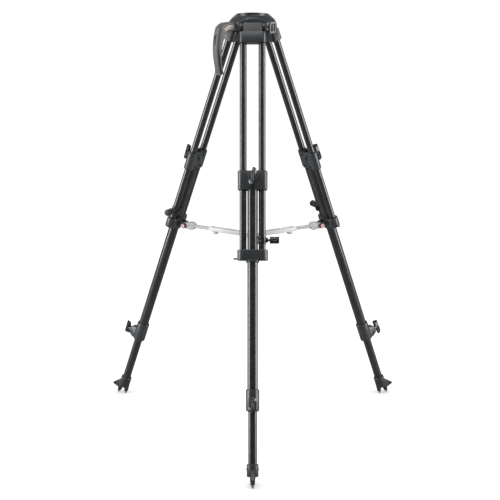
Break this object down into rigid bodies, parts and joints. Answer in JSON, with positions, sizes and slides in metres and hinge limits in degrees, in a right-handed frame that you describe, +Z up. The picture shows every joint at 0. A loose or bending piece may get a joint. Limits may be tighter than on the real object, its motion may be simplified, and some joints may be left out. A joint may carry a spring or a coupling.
{
  "type": "tripod",
  "caption": "Folding three-leg camera stand with a half-ball levelling bowl, carry handle, clamped telescopic carbon legs, spiked feet and a mid-level spreader.",
  "frame": {"origin": "on the floor, straight under the centre of the levelling bowl", "axes": "+Z up along the bowl's axis; -Y towards the front leg; +X to the right seen from the front"},
  "size_m": [0.7408, 0.6416, 1.018],
  "materials": {
    "crown_paint": "satin dark grey powder coat",
    "machined_alu": "turned, clear anodised",
    "steel": "ground steel",
    "warm_grey": "fine moulded grain",
    "light_insert": "satin",
    "grip_rubber": "soft matt rubber",
    "black_screw": "black oxide",
    "casting": "dark grey cast metal",
    "carbon": "carbon fibre, clear coat",
    "knob": "black glass-filled nylon",
    "foot_metal": "black cast metal",
    "pale_arm": "pale grey satin",
    "red_pin": "pale red satin"
  },
  "bodies": {
    "crown": {"crown": "crown_paint", "bowl_liner": "machined_alu", "hinge_pins": "steel", "accessory_plate": "warm_grey", "handle_frame": "warm_grey", "handle_grip": "grip_rubber", "handle_panels": "light_insert", "handle_screws": "black_screw"},
    "hub": {"spreader_hub": "pale_arm"},
    "leg_front": {"leg_shoulder_front": "casting", "upper_tubes_front": "carbon", "leg_yoke_front": "casting", "spreader_pin_front": "red_pin", "tube_band_front": "knob"},
    "thumb_front": {"thumb_knob_front": "knob"},
    "mid_front": {"slider_block_front": "casting", "mid_tube_front": "carbon", "lower_clamp_front": "casting"},
    "upper_wing_front": {"upper_knob_front": "knob"},
    "lower_wing_front": {"lower_knob_front": "knob"},
    "low_front": {"lower_tube_front": "carbon", "foot_front": "foot_metal", "foot_spikes_front": "steel"},
    "bar_front": {"arm_bar_front": "pale_arm"},
    "rail_front": {"arm_rail_front": "pale_arm"},
    "leg_right": {"leg_shoulder_right": "casting", "upper_tubes_right": "carbon", "leg_yoke_right": "casting", "spreader_pin_right": "red_pin", "tube_band_right": "knob"},
    "thumb_right": {"thumb_knob_right": "knob"},
    "mid_right": {"slider_block_right": "casting", "mid_tube_right": "carbon", "lower_clamp_right": "casting"},
    "upper_wing_right": {"upper_knob_right": "knob"},
    "lower_wing_right": {"lower_knob_right": "knob"},
    "low_right": {"lower_tube_right": "carbon", "foot_right": "foot_metal", "foot_spikes_right": "steel"},
    "bar_right": {"arm_bar_right": "pale_arm"},
    "rail_right": {"arm_rail_right": "pale_arm"},
    "leg_left": {"leg_shoulder_left": "casting", "upper_tubes_left": "carbon", "leg_yoke_left": "casting", "spreader_pin_left": "red_pin", "tube_band_left": "knob"},
    "thumb_left": {"thumb_knob_left": "knob"},
    "mid_left": {"slider_block_left": "casting", "mid_tube_left": "carbon", "lower_clamp_left": "casting"},
    "upper_wing_left": {"upper_knob_left": "knob"},
    "lower_wing_left": {"lower_knob_left": "knob"},
    "low_left": {"lower_tube_left": "carbon", "foot_left": "foot_metal", "foot_spikes_left": "steel"},
    "bar_left": {"arm_bar_left": "pale_arm"},
    "rail_left": {"arm_rail_left": "pale_arm"}
  },
  "joints": [
    {"name": "leg_fold_front", "type": "hinge", "parent": "crown", "child": "leg_front", "pos_m": [0, -0.039, 0.993], "axis": [1, 0, 0], "range_deg": [0, 18]},
    {"name": "mid_slide_front", "type": "slide", "parent": "leg_front", "child": "mid_front", "axis": [0, -0.342, -0.9397], "range_m": [-0.286, 0.104]},
    {"name": "low_slide_front", "type": "slide", "parent": "mid_front", "child": "low_front", "axis": [0, -0.342, -0.9397], "range_m": [-0.117, 0.29]},
    {"name": "upper_knob_turn_front", "type": "hinge", "parent": "mid_front", "child": "upper_wing_front", "pos_m": [0, -0.17819, 0.66907], "axis": [0, -0.9397, 0.342], "range_deg": [-180, 0]},
    {"name": "lower_knob_turn_front", "type": "hinge", "parent": "mid_front", "child": "lower_wing_front", "pos_m": [0, -0.36543, 0.18385], "axis": [0, -0.9397, 0.342], "range_deg": [-180, 0]},
    {"name": "thumb_turn_front", "type": "hinge", "parent": "leg_front", "child": "thumb_front", "pos_m": [0.04, -0.20898, 0.52597], "axis": [1, 0, 0], "range_deg": [-180, 0]},
    {"name": "arm_tilt_front", "type": "hinge", "parent": "leg_front", "child": "bar_front", "pos_m": [0, -0.1943, 0.48445], "axis": [1, 0, 0], "range_deg": [0, 71.32]},
    {"name": "arm_slide_front", "type": "slide", "parent": "bar_front", "child": "rail_front", "axis": [0, -1, 0], "range_m": [0, 0.04002]},
    {"name": "leg_fold_right", "type": "hinge", "parent": "crown", "child": "leg_right", "pos_m": [0.03377, 0.0195, 0.993], "axis": [-0.5, 0.866, 0], "range_deg": [0, 18]},
    {"name": "mid_slide_right", "type": "slide", "parent": "leg_right", "child": "mid_right", "axis": [0.2962, 0.171, -0.9397], "range_m": [-0.286, 0.104]},
    {"name": "low_slide_right", "type": "slide", "parent": "mid_right", "child": "low_right", "axis": [0.2962, 0.171, -0.9397], "range_m": [-0.117, 0.29]},
    {"name": "upper_knob_turn_right", "type": "hinge", "parent": "mid_right", "child": "upper_wing_right", "pos_m": [0.15431, 0.08909, 0.66907], "axis": [0.8138, 0.4698, 0.342], "range_deg": [-180, 0]},
    {"name": "lower_knob_turn_right", "type": "hinge", "parent": "mid_right", "child": "lower_wing_right", "pos_m": [0.31647, 0.18272, 0.18385], "axis": [0.8138, 0.4698, 0.342], "range_deg": [-180, 0]},
    {"name": "thumb_turn_right", "type": "hinge", "parent": "leg_right", "child": "thumb_right", "pos_m": [0.16098, 0.13913, 0.52597], "axis": [-0.5, 0.866, 0], "range_deg": [-180, 0]},
    {"name": "arm_tilt_right", "type": "hinge", "parent": "leg_right", "child": "bar_right", "pos_m": [0.16827, 0.09715, 0.48445], "axis": [-0.5, 0.866, 0], "range_deg": [0, 71.32]},
    {"name": "arm_slide_right", "type": "slide", "parent": "bar_right", "child": "rail_right", "axis": [0.866, 0.5, 0], "range_m": [0, 0.04002]},
    {"name": "leg_fold_left", "type": "hinge", "parent": "crown", "child": "leg_left", "pos_m": [-0.03377, 0.0195, 0.993], "axis": [-0.5, -0.866, 0], "range_deg": [0, 18]},
    {"name": "mid_slide_left", "type": "slide", "parent": "leg_left", "child": "mid_left", "axis": [-0.2962, 0.171, -0.9397], "range_m": [-0.286, 0.104]},
    {"name": "low_slide_left", "type": "slide", "parent": "mid_left", "child": "low_left", "axis": [-0.2962, 0.171, -0.9397], "range_m": [-0.117, 0.29]},
    {"name": "upper_knob_turn_left", "type": "hinge", "parent": "mid_left", "child": "upper_wing_left", "pos_m": [-0.15431, 0.08909, 0.66907], "axis": [-0.8138, 0.4698, 0.342], "range_deg": [-180, 0]},
    {"name": "lower_knob_turn_left", "type": "hinge", "parent": "mid_left", "child": "lower_wing_left", "pos_m": [-0.31647, 0.18272, 0.18385], "axis": [-0.8138, 0.4698, 0.342], "range_deg": [-180, 0]},
    {"name": "thumb_turn_left", "type": "hinge", "parent": "leg_left", "child": "thumb_left", "pos_m": [-0.20098, 0.06985, 0.52597], "axis": [-0.5, -0.866, 0], "range_deg": [-180, 0]},
    {"name": "arm_tilt_left", "type": "hinge", "parent": "leg_left", "child": "bar_left", "pos_m": [-0.16827, 0.09715, 0.48445], "axis": [-0.5, -0.866, 0], "range_deg": [0, 71.32]},
    {"name": "arm_slide_left", "type": "slide", "parent": "bar_left", "child": "rail_left", "axis": [-0.866, 0.5, 0], "range_m": [0, 0.04002]},
    {"name": "hub_rise", "type": "slide", "parent": "crown", "child": "hub", "axis": [0, 0, 1], "range_m": [0, 0.10329]}
  ],
  "couplings": [
    {"joint": "arm_tilt_front", "follows": "leg_fold_front", "ratio": 3.961},
    {"joint": "arm_slide_front", "follows": "leg_fold_front", "m_per_rad": 0.12732},
    {"joint": "leg_fold_right", "follows": "leg_fold_front", "ratio": 1},
    {"joint": "arm_tilt_right", "follows": "leg_fold_front", "ratio": 3.961},
    {"joint": "arm_slide_right", "follows": "leg_fold_front", "m_per_rad": 0.12732},
    {"joint": "leg_fold_left", "follows": "leg_fold_front", "ratio": 1},
    {"joint": "arm_tilt_left", "follows": "leg_fold_front", "ratio": 3.961},
    {"joint": "arm_slide_left", "follows": "leg_fold_front", "m_per_rad": 0.12732},
    {"joint": "hub_rise", "follows": "leg_fold_front", "m_per_rad": 0.32847}
  ]
}
